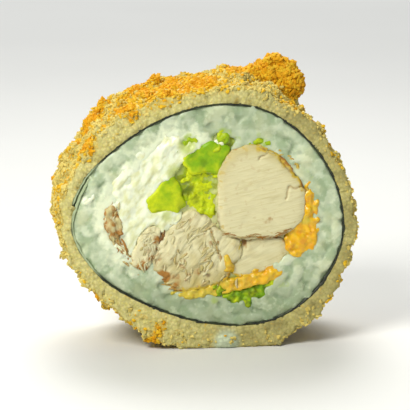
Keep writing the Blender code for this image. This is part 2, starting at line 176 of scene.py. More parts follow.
def cutShare(place, normal, turned=(0.5, 0.8), depth=11.0):
    # 1 on the cut faces, 0 away from them
    return smoothStep(*turned, abs(normal[1])) * smoothStep(depth, 11.8, abs(place[1]))


def spotsAt(place, spots):
    # the strongest of some soft round spots, each x, z, radius and strength
    best = 0.0
    for x, z, radius, strength in spots:
        away = math.hypot(place[0] - x, place[2] - z) / radius
        best = max(best, strength * (1 - smoothStep(0.35, 1.0, away)))
    return best


def alongLines(place, lines):
    # 1 on some crooked lines, fading over each line's width; a line is its points and its width
    best = 0.0
    place = Vector(place) + 0.5 * noise.noise_vector(Vector(place) / 1.2)
    for points, width in lines:
        for (ax, az), (bx, bz) in zip(points, points[1:]):
            length = (bx - ax) ** 2 + (bz - az) ** 2
            share = ((place[0] - ax) * (bx - ax) + (place[2] - az) * (bz - az)) / length
            share = min(max(share, 0.0), 1.0)
            away = math.hypot(place[0] - ax - share * (bx - ax), place[2] - az - share * (bz - az))
            best = max(best, 1 - smoothStep(0.0, width, away))
    return best


def treeOf(meshes):
    vertices, faces = [], []
    for mesh in meshes:
        start = len(vertices)
        vertices += [vertex.co / mm - middle for vertex in mesh.vertices]
        faces += [[start + i for i in face.vertices] for face in mesh.polygons]
    return BVHTree.FromPolygons(vertices, faces)


def treeOfNodes(*nodeNames):
    return treeOf([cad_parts[nodeName].data for nodeName in nodeNames])


def pushAcross(piece, stepAt):
    # moves each point straight out from the middle of the ring, or in, by stepAt(place, normal, outward)
    places, normals = placesAndNormals(piece)
    for place, normal in zip(places, normals):
        outward = Vector((place[0], 0, place[2])).normalized()
        step = stepAt(Vector(place), Vector(normal), outward)
        place[0] += outward.x * step
        place[2] += outward.z * step
    setPlaces(piece, places)


def edgeDistances(piece):
    # how far each point of the cut faces lies from the piece's own side wall
    places, normals = placesAndNormals(piece)
    walls = [Vector(place) for place, normal in zip(places, normals) if abs(normal[1]) < 0.45]
    tree = KDTree(len(walls))
    for i, wall in enumerate(walls):
        tree.insert(wall, i)
    tree.balance()
    return np.array([tree.find(Vector(place))[2] for place in places])


def finishPiece(piece, nodeNames, material, smooth=True):
    piece.data.materials.clear()
    piece.data.materials.append(material)
    if smooth:
        piece.data.shade_smooth()
    else:
        piece.data.shade_flat()
    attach(piece, "root")
    if nodeNames:
        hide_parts(*nodeNames)
    print(piece.name, len(piece.data.polygons), "faces")


# Materials

def linear(red, green, blue):
    # a screen colour from 0 to 255 as the shader wants it
    parts = []
    for part in (red, green, blue):
        part /= 255
        parts.append(part / 12.92 if part <= 0.04045 else ((part + 0.055) / 1.055) ** 2.4)
    return (*parts, 1.0)


def newMaterial(name, roughness, scatter=0.0, scatterDepth=1.0, gloss=0.5, coat=0.0):
    material = bpy.data.materials.new(name)
    material.use_nodes = True
    shader = material.node_tree.nodes["Principled BSDF"]
    for socket, value in (
        ("Roughness", roughness), ("Specular IOR Level", gloss), ("Subsurface Weight", scatter),
        ("Subsurface Radius", (1.0, 0.8, 0.55)), ("Subsurface Scale", scatterDepth * mm),
        ("Coat Weight", coat), ("Coat Roughness", 0.18),
    ):
        shader.inputs[socket].default_value = value
    return material, material.node_tree


def addNode(tree, kind, **settings):
    node = tree.nodes.new(kind)
    for name, value in settings.items():
        setattr(node, name, value)
    return node


def feed(tree, socket, value):
    if isinstance(value, (int, float, tuple)):
        socket.default_value = value
    else:
        tree.links.new(value, socket)


def pattern(tree, perMm, turn=(0, 0, 0)):
    # object coordinates, turned, then scaled so that one step of the pattern is 1 / perMm millimetres
    perMm = perMm if isinstance(perMm, tuple) else (perMm,) * 3
    place = addNode(tree, "ShaderNodeTexCoord").outputs["Object"]
    for setting, values in (
        ("Rotation", [math.radians(angle) for angle in turn]), ("Scale", [each / mm for each in perMm]),
    ):
        node = addNode(tree, "ShaderNodeMapping")
        node.inputs[setting].default_value = values
        tree.links.new(place, node.inputs["Vector"])
        place = node.outputs["Vector"]
    return place


def noiseOf(tree, perMm, detail=3.0, turn=(0, 0, 0), warp=0.0):
    node = addNode(tree, "ShaderNodeTexNoise")
    for name, value in (
        ("Scale", 1.0), ("Detail", detail), ("Distortion", warp), ("Vector", pattern(tree, perMm, turn)),
    ):
        feed(tree, node.inputs[name], value)
    return node.outputs["Fac"]


def cellsOf(tree, perMm):
    node = addNode(tree, "ShaderNodeTexVoronoi")
    node.inputs["Scale"].default_value = 1.0
    tree.links.new(pattern(tree, perMm), node.inputs["Vector"])
    return node.outputs["Distance"]


def layerOf(tree, layer):
    return addNode(tree, "ShaderNodeAttribute", attribute_name=layer).outputs["Fac"]


def ranged(tree, value, low, high, start=0.0, end=1.0):
    node = addNode(tree, "ShaderNodeMapRange")
    names = ("Value", "From Min", "From Max", "To Min", "To Max")
    for name, each in zip(names, (value, low, high, start, end)):
        feed(tree, node.inputs[name], each)
    return node.outputs["Result"]


def patchesOf(tree, perMm, detail, spread=0.3):
    return ranged(tree, noiseOf(tree, perMm, detail), 0.35, 0.65, -spread, spread)


def combined(tree, operation, first, second):
    node = addNode(tree, "ShaderNodeMath", operation=operation)
    for socket, value in zip(node.inputs, (first, second)):
        feed(tree, socket, value)
    return node.outputs["Value"]


def patchy(tree, layer, patches):
    # a painted layer whose edge follows some patches
    return combined(tree, "ADD", layerOf(tree, layer), patches)


# the colour sockets of a mix node share their names with others, so they go by number
mixInputs = (0, 6, 7)
mixOutput = 2


def blended(tree, share, first, second, blend="MIX"):
    node = addNode(tree, "ShaderNodeMix", data_type="RGBA", blend_type=blend)
    for i, value in zip(mixInputs, (share, first, second)):
        feed(tree, node.inputs[i], value)
    return node.outputs[mixOutput]


def washed(tree, look, base, *washes):
    # colours laid over base: a wash is a share or a painted layer, a colour, and perhaps the share's range
    for share, colour, *ends in washes:
        share = layerOf(tree, share) if isinstance(share, str) else share
        share = ranged(tree, share, *ends) if ends else share
        base, colour = (look[each] if isinstance(each, str) else each for each in (base, colour))
        base = blended(tree, share, base, colour)
    return base


def coloured(material, base, height=None, strength=0.0, distance=0.0):
    # the material with its colour, and with bumps of this height in millimetres
    tree = material.node_tree
    shader = tree.nodes["Principled BSDF"]
    tree.links.new(base, shader.inputs["Base Color"])
    if height is not None:
        node = addNode(tree, "ShaderNodeBump")
        for name, value in (("Strength", strength), ("Distance", distance * mm), ("Height", height)):
            feed(tree, node.inputs[name], value)
        tree.links.new(node.outputs["Normal"], shader.inputs["Normal"])
    return material


# The fried crumb coating

coatingLook = {
    "voxel": 0.38,
    "pale": linear(208, 197, 116),
    "cream": linear(216, 209, 146),
    "olive": linear(184, 164, 86),
    # painted shade for the right side, which faces away from the light
    "paintedRightShade": linear(148, 139, 84),
    "gold": linear(216, 172, 26),
    "orange": linear(206, 140, 4),
    "brown": linear(150, 80, 2),
    "drop": linear(196, 206, 172),
    # browned places: bearing, y, reach and strength
    "browned": [
        (106, -1.0, 17.0, 0.62),
        (126, -7.0, 5.5, 1.0), (104, -2.0, 5.0, 1.0), (90, -4.0, 5.0, 0.95), (75, 4.0, 4.5, 0.7),
        (150, -9.0, 4.0, 0.75), (168, -6.0, 4.0, 0.5), (215, -10.0, 2.4, 0.8), (246, -11.5, 2.0, 0.8),
        (30, 4.0, 5.0, 0.6), (8, -4.0, 4.0, 0.45), (-25, 3.0, 5.0, 0.5), (140, 7.0, 5.5, 0.7),
        (180, 5.0, 5.0, 0.55), (205, 8.0, 4.0, 0.5), (112, 9.0, 4.0, 0.6), (48, -5.0, 3.0, 0.45),
    ],
    # the heap of browned crumbs and where it spreads down the shoulder: place and reach
    "heap": [((15.6, 4.5, 28.2), 6.6), ((19.0, 2.5, 25.0), 4.0)],
    "heapFire": linear(234, 172, 18),
    "heapGlow": linear(240, 200, 56),
    # places beside the heap that are raised: place, reach and rise
    "shoulders": [
        ((19.4, 3.0, 24.2), 5.6, 2.2), ((8.5, 3.5, 25.0), 6.5, 2.0), ((13.5, -3.5, 24.0), 4.5, 1.2),
    ],
    # the pale drop of batter: place and reach
    "dropAt": ((3.6, -12.6, -26.4), 3.4),
}


def noriReach():
    # the inner and outer radius of the nori against bearing
    places, _ = placesAndNormals(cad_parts["nori_sheet"])
    bearings = np.degrees(np.arctan2(places[:, 2], places[:, 0]))
    radii = np.hypot(places[:, 0], places[:, 2])
    steps = np.arange(-180, 180, 4)
    near = [radii[np.abs(wrapped(bearings - step)) < 4] for step in steps]
    return steps, {"inner": [each.min() for each in near], "outer": [each.max() for each in near]}


noriSteps, noriRadii = noriReach()


def noriRadius(bearing, side="outer"):
    return float(np.interp(bearing, noriSteps, noriRadii[side], period=360))


def overNori(place):
    return math.hypot(place[0], place[2]) - noriRadius(bearingOf(place))


def browning(place):
    bearing = bearingOf(place)
    radius = math.hypot(place[0], place[2])
    best = 0.0
    for at, y, reach, strength in coatingLook["browned"]:
        along = math.radians(wrapped(bearing - at)) * radius
        away = math.hypot(along, (place[1] - y) * 0.8) / reach
        best = max(best, strength * (1 - smoothStep(0.3, 1.0, away)))
    patches = 0.5 + 0.9 * noiseAt(place, 2.6) + 0.5 * noiseAt(place, 1.1)
    loose = 0.5 * smoothStep(0.05, 0.5, noiseAt(place, 5.0, (9, 4, 2)))
    return min(max(best * (0.55 + 0.75 * patches) + loose * patches, 0.0), 1.0)


def outerness(place):
    # 0 at the nori, 1 from the coating's outer face on
    return smoothStep(0.9, 2.6, overNori(place))


def inHeap(place):
    return max(closeness(place, centre, reach, 0.8, 1.05) for centre, reach in coatingLook["heap"])


def makeCoating():
    look = coatingLook
    coating = remeshed(copyNode("crumbCoating", "crumb_coating"), look["voxel"])
    nori = treeOfNodes("nori_sheet")
    level = halfThickness - 0.5

    def towardsNori(place, normal, outward):
        if overNori(place) > 1.0 or normal.dot(outward) > 0.2:
            return 0.0
        place.y = min(max(place.y, -level), level)
        hit = nori.ray_cast(place, -outward, 2.0)
        return -hit[3] - 0.1 if hit[0] else 0.0

    pushAcross(coating, towardsNori)

    def heightAt(place, normal):
        onCut = cutShare(place, normal, (0.55, 0.85), 11.2)
        if overNori(place) < 0.8 and abs(normal.y) < 0.6:
            return 0.0
        crags = 0.55 * (0.42 - cellAt(place, 1.7)) + 0.35 * (0.42 - cellAt(place, 0.8))
        grit = 0.16 * noiseAt(place, 0.45)
        pores = -0.5 * smoothStep(0.28, 0.6, noiseAt(place, 1.0, (3, 8, 1)))
        crumbly = 0.20 * (0.4 - cellAt(place, 0.75)) + 0.14 * noiseAt(place, 0.5) + pores
        height = crags * (1 - onCut) + crumbly * onCut + grit * (1 - onCut)
        for centre, reach, rise in look["shoulders"]:
            height += rise * (1 - onCut) * closeness(place, centre, reach, 0.2)
        return height * (1 - closeness(place, *look["dropAt"], 0.6, 1.1))

    pushOut(coating, heightAt)
    places, normals = placesAndNormals(coating)
    places[:, 2] = np.maximum(places[:, 2], -middle.z)
    setPlaces(coating, places)
    rows = []
    for place, normal in zip(places, normals):
        onCut = cutShare(place, normal)
        # painted shade: darker on the right side, away from the light, most on the cut face
        rightShadeMask = 1 - smoothStep(55, 105, abs(wrapped(bearingOf(place) + 12)))
        rows.append((
            browning(place) * (1 - onCut * (1 - 0.5 * outerness(place))), onCut, inHeap(place),
            closeness(place, *look["dropAt"], 0.5),
            rightShadeMask * (0.3 + 0.7 * onCut) * (0.55 + 0.5 * noiseAt(place, 3.0)),
        ))
    for layer, values in zip(("brown", "sliced", "heaped", "milky", "paintedRightShade"), zip(*rows)):
        paint(coating, layer, values)
    finishPiece(coating, ["crumb_coating"], coatingMaterial())
    return coating


def coatingMaterial():
    look = coatingLook
    material, tree = newMaterial("friedCoating", 0.72, scatter=0.08, scatterDepth=0.6, gloss=0.22)
    speckle = noiseOf(tree, 1.6, 5)
    grains = cellsOf(tree, 1.5)
    toasted = patchy(tree, "brown", ranged(tree, speckle, 0.3, 0.7, -0.22, 0.22))
    skin = washed(
        tree, look, "pale", (noiseOf(tree, 0.35, 3), "olive", 0.4, 0.62), (speckle, "gold", 0.5, 0.68),
    )
    crumb = washed(
        tree, look, "pale", (speckle, "cream", 0.38, 0.62),
        (noiseOf(tree, 1.1, 4), "olive", 0.56, 0.7, 0, 0.65),
    )
    heap = washed(
        tree, look, "heapGlow", (speckle, "heapFire", 0.36, 0.56), (speckle, "brown", 0.62, 0.8, 0, 0.6),
    )
    base = washed(
        tree, look, skin, ("sliced", crumb), ("paintedRightShade", "paintedRightShade"), (toasted, "gold", 0.05, 0.5),
        (toasted, "orange", 0.4, 1.0), (toasted, "brown", 0.9, 1.3, 0, 0.5),
        ("heaped", heap), ("milky", "drop"),
    )
    base = blended(tree, 1.0, base, ranged(tree, grains, 0.1, 0.7, 1.06, 0.8), "MULTIPLY")
    return coloured(material, base, combined(tree, "ADD", noiseOf(tree, 3.2, 4), grains), 0.5, 0.25)


# Loose crumbs on the coating

crumbLook = {
    "pale": {"count": 9000, "size": (0.13, 0.34), "seed": 3, "colours": ((218, 200, 114), (200, 178, 90))},
    "golden": {"count": 8600, "size": (0.13, 0.36), "seed": 5, "colours": ((224, 184, 44), (212, 166, 26))},
    "toasted": {"count": 6400, "size": (0.14, 0.4), "seed": 8, "colours": ((224, 168, 22), (206, 144, 8))},
}


def templateOf(ball):
    # the points of a ball and its faces as triangles
    points = np.array([tuple(vertex.co) for vertex in ball.data.vertices])
    triangles = []
    for face in ball.data.polygons:
        corners = list(face.vertices)
        triangles += [(corners[0], *corners[i:i + 2]) for i in range(1, len(corners) - 1)]
    bpy.data.objects.remove(ball)
    return points, np.array(triangles)


def joinedCopies(name, points, faces):
    # points: one row of template points for each copy
    count, each = points.shape[0], points.shape[1]
    allFaces = (faces[None, :, :] + (np.arange(count) * each)[:, None, None]).reshape(-1, faces.shape[1])
    mesh = bpy.data.meshes.new(name)
    mesh.from_pydata((points.reshape(-1, 3) + np.array(middle)) * mm, [], allFaces.tolist())
    piece = bpy.data.objects.new(name, mesh)
    bpy.context.scene.collection.objects.link(piece)
    return piece


def scatterCrumbs(kind, ground, wanted):
    look = crumbLook[kind]
    chance = np.random.default_rng(look["seed"])
    centres, normals = ground["centres"], ground["normals"]
    chosen = chance.choice(len(centres), look["count"], p=wanted / wanted.sum())
    deselectAll()
    bpy.ops.mesh.primitive_ico_sphere_add(subdivisions=1, radius=1)
    editAll(bpy.ops.transform.resize, value=(1.25, 0.85, 0.62))
    template, faces = templateOf(bpy.context.object)
    size = chance.uniform(*look["size"], len(chosen)) * chance.uniform(0.8, 1.6, len(chosen)) ** 1.5
    upright = normals[chosen] + chance.normal(0, 0.45, (len(chosen), 3))
    upright /= np.linalg.norm(upright, axis=1)[:, None]
    across = np.cross(upright, chance.normal(0, 1, (len(chosen), 3)))
    across /= np.linalg.norm(across, axis=1)[:, None]
    third = np.cross(upright, across)
    jagged = template[None] * chance.uniform(0.6, 1.25, (len(chosen), len(template), 1)) * size[:, None, None]
    centre = centres[chosen] + normals[chosen] * (0.2 * size)[:, None]
    points = (
        centre[:, None] + jagged[..., :1] * across[:, None] + jagged[..., 1:2] * third[:, None]
        + jagged[..., 2:] * upright[:, None]
    )
    points[..., 2] = np.maximum(points[..., 2], -middle.z)
    piece = joinedCopies(f"{kind}Crumbs", points, faces)
    finishPiece(piece, [], crumbMaterial(kind), smooth=False)


def crumbMaterial(kind):
    material, tree = newMaterial(f"{kind}Crumb", 0.72, gloss=0.22)
    colours = [linear(*colour) for colour in crumbLook[kind]["colours"]]
    base = blended(tree, ranged(tree, noiseOf(tree, 0.9, 3), 0.36, 0.64), *colours)
    shade = ranged(tree, noiseOf(tree, 3.0, 3), 0.3, 0.7, 0.86, 1.12)
    base = blended(tree, 1.0, base, shade, "MULTIPLY")
    return coloured(material, base, noiseOf(tree, 4.5, 3), 0.35, 0.12)


def makeCrumbs(coating):
    faces = coating.data.polygons
    readings = []
    for name, width in (("center", 3), ("normal", 3), ("area", 1)):
        readings.append(np.empty(len(faces) * width))
        faces.foreach_get(name, readings[-1])
    centres, normals, areas = readings
    ground = {"centres": centres.reshape(-1, 3) / mm - np.array(middle), "normals": normals.reshape(-1, 3)}
    rows = []
    for place, normal in zip(ground["centres"], ground["normals"]):
        bare = outerness(place) * (1 - 0.8 * cutShare(place, normal)) * smoothStep(-27.2, -26.0, place[2])
        rows.append((bare, browning(place), inHeap(place)))
    bare, brown, heap = np.array(rows).T
    bare = areas * bare
    scatterCrumbs("pale", ground, bare * (1.02 - brown) * (1 - heap))
    scatterCrumbs("golden", ground, bare * (0.12 + np.clip(2.5 * brown - 0.25, 0, 1) + 2.4 * heap))
    scatterCrumbs("toasted", ground, bare * (0.004 + 1.1 * np.clip(2.2 * brown - 1.0, 0, 1) + 0.4 * heap))


# The nori sheet

noriLook = {
    "dark": linear(20, 26, 10),
    "green": linear(46, 56, 22),
    "faded": linear(120, 128, 84),
    "soaked": linear(166, 180, 138),
    "ragged": 0.2,
    "lapBearing": 174,
}


def makeNori():
    look = noriLook
    nori = copyNode("noriWrap", "nori_sheet")
    editAll(bpy.ops.mesh.subdivide, number_cuts=3)
    places, _ = placesAndNormals(nori)
    for place in places:
        here = Vector(place)
        ring = here.normalized()
        wave = look["ragged"] * noise.noise(Vector((here.x, here.z, 7)) / 1.4)
        place[0] += ring.x * wave
        place[2] += ring.z * wave
        if abs(here.y) > halfThickness - 1:
            place[1] += 0.18 * noise.noise(Vector((here.x, here.z, here.y)) / 0.9)
    setPlaces(nori, places)
    faded, lapped = [], []
    for place in places:
        away = abs(abs(bearingOf(place)) - look["lapBearing"])
        faded.append(1 - smoothStep(12, 22, away))
        lapped.append((1 - smoothStep(16, 24, away)) * smoothStep(0.25, 0.45, -overNori(place)))
    paint(nori, "faded", faded)
    paint(nori, "lapped", lapped)
    material, tree = newMaterial("noriFinish", 0.42, gloss=0.5)
    thin = ranged(tree, noiseOf(tree, 1.2, 3), 0.4, 0.6)
    base = washed(
        tree, look, "dark", (noiseOf(tree, 0.8, 4), "green", 0.4, 0.65),
        (combined(tree, "MULTIPLY", layerOf(tree, "faded"), thin), "faded"), ("lapped", "soaked"),
    )
    finishPiece(nori, ["nori_sheet"], coloured(material, base, noiseOf(tree, 2.5, 4), 0.4, 0.2))


# The filling

# the two parts of the node's name, voxel, how far the side walls move out, and how fibres lean in degrees
fillingLook = {
    f"{kind}_{part}": {"name": kind + part.title(), "voxel": voxel, "swell": swell, "lean": lean}
    for kind, part, voxel, swell, lean in (
        ("chicken", "strip", 0.27, 0.3, 12), ("chicken", "chunk", 0.27, 0.3, 48),
        ("chicken", "small", 0.25, 0.3, 20), ("chicken", "shred", 0.2, 0.32, 68),
        ("chicken", "fringe", 0.2, 0.32, 80), ("avocado", "top", 0.22, 0.24, 0),
        ("avocado", "left", 0.22, 0.24, 0), ("avocado", "middle", 0.2, 0.3, 0),
        ("avocado", "sunk", 0.2, 0.3, 0), ("avocado", "tip", 0.2, 0.3, 0), ("avocado", "under", 0.2, 0.32, 0),
        ("cheddar", "side", 0.2, 0.42, 0), ("cheddar", "under", 0.2, 0.42, 0),
        ("cream", "cheese", 0.3, 0.32, 0),
    )
}


def solidCopy(nodeName):
    look = fillingLook[nodeName]
    return remeshed(copyNode(look["name"], nodeName), look["voxel"])


def fibres(place, lean, fine, seed):
    # fine lines that lean by this many degrees in the cut face
    turn = math.radians(lean)
    along = place.x * math.cos(turn) + place.z * math.sin(turn)
    across = place.z * math.cos(turn) - place.x * math.sin(turn)
    bend = 0.5 * noise.noise(Vector((place.x, place.z, seed)) / 5.0)
    return noise.noise(Vector((along * 0.22, (across + bend) * fine, place.y * 0.3 + seed)))


chickenLook = {
    "pale": linear(219, 212, 168),
    # the tan layer also carries painted shade in the hollows of the rough meat
    "tanAndHollowShade": linear(186, 171, 108),
    "line": linear(178, 162, 98),
    "yellow": linear(206, 178, 60),
    "brown": linear(166, 116, 46),
    # dark: browned specks, and painted shade along the gaps between the pieces
    "dark": linear(84, 44, 14),
}


def makeChicken(nodeName, rough, torn, layers, splits=()):
    # rough: how uneven the cut is; torn: how ragged its outline is; splits: lines where the meat has parted
    look = fillingLook[nodeName]
    piece = solidCopy(nodeName)
    lean = look["lean"]
    pushSides(piece, lambda place: look["swell"])
    places, _ = placesAndNormals(piece)
    edges = edgeDistances(piece)

    def heightAt(place, normal):
        swirl = lean + 30 * noise.noise(Vector((place.x, place.z, 5)) / 4.5) * min(rough * 3, 1)
        lines = fibres(place, swirl, 1.5, 3) * 0.07 + fibres(place, swirl, 3.2, 9) * 0.04
        clumps = noiseAt(place, 1.5, (4, 4, 4)) * 0.5 + fibres(place, swirl, 0.9, 20) * 0.6
        clumps += fibres(place, swirl, 2.0, 27) * 0.35 + noiseAt(place, 0.6) * 0.08
        ragged = torn * (noiseAt(place, 1.5) + 0.7 * noiseAt(place, 0.6)) * (1 - abs(normal.y))
        return lines + rough * clumps + ragged - 0.45 * alongLines(place, splits)

    pushOut(piece, heightAt)
    # painted shade: the tan layer grows where the meat lies below the cut, in its hollows
    sunk = halfThickness - np.abs(placesAndNormals(piece)[0][:, 1])
    for layer, valueAt in layers.items():
        values = [valueAt(place, edge) for place, edge in zip(places, edges)]
        if layer == "tanAndHollowShade":
            values = [value + 0.6 * rough * smoothStep(0.0, 0.4, depth) for value, depth in zip(values, sunk)]
        paint(piece, layer, values)
    paint(piece, "split", [alongLines(place, splits) for place in places])
    finishPiece(piece, [nodeName], chickenMaterial(look["name"], lean))


def chickenMaterial(name, lean):
    material, tree = newMaterial(f"{name}Meat", 0.52, scatter=0.18, scatterDepth=0.8, gloss=0.35, coat=0.05)
    turn = (0, lean, 0)
    lines = noiseOf(tree, (0.18, 0.3, 2.4), 3, turn, 0.4)
    fine = noiseOf(tree, (0.35, 0.6, 5.5), 2, turn, 0.3)
    patches = patchesOf(tree, 0.9, 4)
    base = washed(
        tree, chickenLook, "pale", ("tanAndHollowShade", "tanAndHollowShade"), (lines, "line", 0.5, 0.68, 0, 0.28),
        (fine, "line", 0.52, 0.7, 0, 0.2), (patchy(tree, "yellow", patches), "yellow", 0.3, 0.7),
        (patchy(tree, "brown", patches), "brown", 0.22, 0.8), ("split", "brown", 0.3, 1.0, 0, 0.55),
        ("dark", "dark"),
    )
    return coloured(material, base, combined(tree, "ADD", lines, fine), 0.25, 0.2)


def near(edge, reach):
    return 1 - smoothStep(0.1, reach, edge)


def spotLayer(spots, reach=None):
    # soft spots, and with a reach only where they lie this close to the piece's own edge
    return lambda place, edge: (near(edge, reach) if reach else 1) * spotsAt(place, spots)


def makeAllChicken():
    def none(place, edge):
        return 0.0

    def upperRight(place):
        return smoothStep(7, 12, place[0]) * smoothStep(3, 8, place[2])

    stripRim = spotLayer([
        (16.5, 11.0, 3.8, 0.9), (19.6, 6.6, 2.2, 1.0), (12.5, -4.4, 5.0, 0.9), (5.0, 13.5, 2.0, 0.5),
    ], 1.0)
    makeChicken("chicken_strip", 0.06, 0.26, {
        "tanAndHollowShade": lambda place, edge: 0.05 + 0.7 * near(edge, 3.2) * smoothStep(2, 12, place[2]),
        "yellow": lambda place, edge: near(edge, 1.8) * (0.25 + 0.85 * upperRight(place)),
        "brown": lambda place, edge: stripRim(place, edge) + spotsAt(place, [(12.3, -1.0, 1.3, 0.45)]),
        # painted shade in the gaps along the strip's edges
        "dark": spotLayer([
            (6.4, -3.9, 2.6, 1.0), (14.6, -3.8, 3.4, 0.75), (19.7, 6.0, 1.1, 0.9), (14.6, 13.0, 1.0, 0.9),
            (18.3, 8.7, 1.2, 0.7), (2.0, -1.0, 2.6, 0.5),
        ], 0.6),
    }, splits=[
        ([(19.4, 5.8), (16.0, 5.5), (15.6, 3.2)], 0.35), ([(12.0, 13.4), (10.2, 11.4)], 0.3),
        ([(14.4, 11.6), (16.2, 9.2), (18.4, 8.2)], 0.4),
    ])
    makeChicken("chicken_chunk", 0.5, 0.4, {
        "tanAndHollowShade": lambda place, edge: 0.02 + 0.6 * noiseAt(place, 2.0) + 0.8 * smoothStep(-7, -14, place[2]),
        "yellow": lambda place, edge: near(edge, 1.6) * smoothStep(-9, -13.5, place[2]) * 1.1,
        "brown": spotLayer([
            (-9.6, -12.2, 2.4, 0.95), (-7.5, -14.6, 2.2, 0.7), (-2.4, -11.4, 1.2, 0.65),
            (0.4, -5.4, 1.0, 0.75), (-10.6, -8.4, 1.8, 0.55), (3.6, -12.4, 1.4, 0.5),
            (-5.6, -9.6, 1.4, 0.5), (-6.6, -12.4, 1.6, 0.5),
        ]),
        "dark": spotLayer([(-0.2, -12.0, 0.7, 0.7), (-9.2, -10.2, 0.6, 0.5)]),
    }, splits=[([(0.2, -2.0), (0.9, -5.4), (2.2, -8.7)], 0.4)])
    makeChicken("chicken_small", 0.12, 0.26, {
        "tanAndHollowShade": lambda place, edge: 0.1 + 0.3 * noiseAt(place, 2.0),
        "yellow": lambda place, edge: near(edge, 0.9) * smoothStep(-8, -12, place[2]),
        "brown": spotLayer([(13.6, -5.0, 3.2, 0.95), (7.6, -5.6, 2.0, 0.8)], 0.9),
        # painted shade in the gap between the small piece and the strip
        "dark": spotLayer([(13.6, -4.8, 2.4, 0.7), (7.8, -5.2, 1.6, 0.9)], 0.7),
    }, splits=[([(7.2, -4.4), (7.4, -7.0)], 0.35)])
    makeChicken("chicken_shred", 0.3, 0.45, {
        "tanAndHollowShade": lambda place, edge: 0.3 * smoothStep(-8, -10, place[2]) - 0.1,
        "yellow": none,
        "brown": spotLayer([(-10.6, -4.6, 1.5, 0.8), (-13.6, -10.0, 2.0, 0.95), (-12.0, -8.0, 1.2, 0.7)]),
        # painted shade in the gap between the shred and the chunk
        "dark": spotLayer([(-9.9, -3.6, 1.4, 0.9), (-12.6, -10.4, 0.9, 0.8)], 0.6),
    })
    makeChicken("chicken_fringe", 0.9, 0.7, {
        "tanAndHollowShade": lambda place, edge: 0.6 + 0.5 * noiseAt(place, 1.2),
        "yellow": none,
        "brown": lambda place, edge: 0.3 + 0.7 * noiseAt(place, 1.1) + near(edge, 0.8) * 0.3,
        "dark": none,
    })


avocadoLook = {
    "lime": linear(128, 172, 2),
    "yellow": linear(196, 208, 12),
    "deep": linear(84, 116, 6),
    # hollow: painted shade, the dark green of recesses
    "hollow": linear(50, 70, 8),
}


def sharpened(piece, corners, pull):
    # draws the rounded corners of a cut piece out to points
    places, _ = placesAndNormals(piece)
    front, back = (
        places[places[:, 1] * side > halfThickness - 1][:, [0, 2]].mean(axis=0) for side in (-1, 1)
    )
    bearings = [math.atan2(z - front[1], x - front[0]) for x, z in corners]
    for place in places:
        centre = front + (back - front) * (place[1] + halfThickness) / (2 * halfThickness)
        away = place[[0, 2]] - centre
        bearing = math.atan2(away[1], away[0])
        turns = [abs((bearing - each + math.pi) % (2 * math.pi) - math.pi) for each in bearings]
        place[[0, 2]] = centre + away * (1 + pull * max(0.0, 1 - math.degrees(min(turns)) / 26))
    setPlaces(piece, places)


def makeAvocado(nodeName, rough, ripe, shaded, corners=(), runs=()):
    # ripe: how yellow it is; shaded: how much of the dark hollow colour it takes; runs: small bits that stick
    # to it
    look = fillingLook[nodeName]
    piece = solidCopy(nodeName)
    if corners:
        sharpened(piece, corners, 0.2)
    pushSides(piece, lambda place: look["swell"])
    if runs:
        piece = withBits(piece, look, runs, 23)
    pushOut(piece, lambda place, normal: rough * (
        noiseAt(place, 1.3) + 0.6 * noiseAt(place, 0.6, (2, 2, 2))
    ))
    places, _ = placesAndNormals(piece)
    edges = edgeDistances(piece)
    paint(piece, "ripe", [ripe(place, edge) for place, edge in zip(places, edges)])
    paint(piece, "shaded", [shaded(place, edge) for place, edge in zip(places, edges)])
    finishPiece(piece, [nodeName], avocadoMaterial(look["name"], rough))


def avocadoMaterial(name, rough):
    material, tree = newMaterial(f"{name}Flesh", 0.45, scatter=0.1, scatterDepth=0.5, gloss=0.28, coat=0.05)
    flecks = noiseOf(tree, 1.8, 4)
    base = washed(
        tree, avocadoLook, "lime", (patchy(tree, "ripe", patchesOf(tree, 0.5, 3)), "yellow", 0.1, 0.9),
        (flecks, "deep", 0.5, 0.72, 0, min(0.35, 0.12 + rough)), ("shaded", "hollow"),
    )
    return coloured(material, base, flecks, 0.25, 0.2)


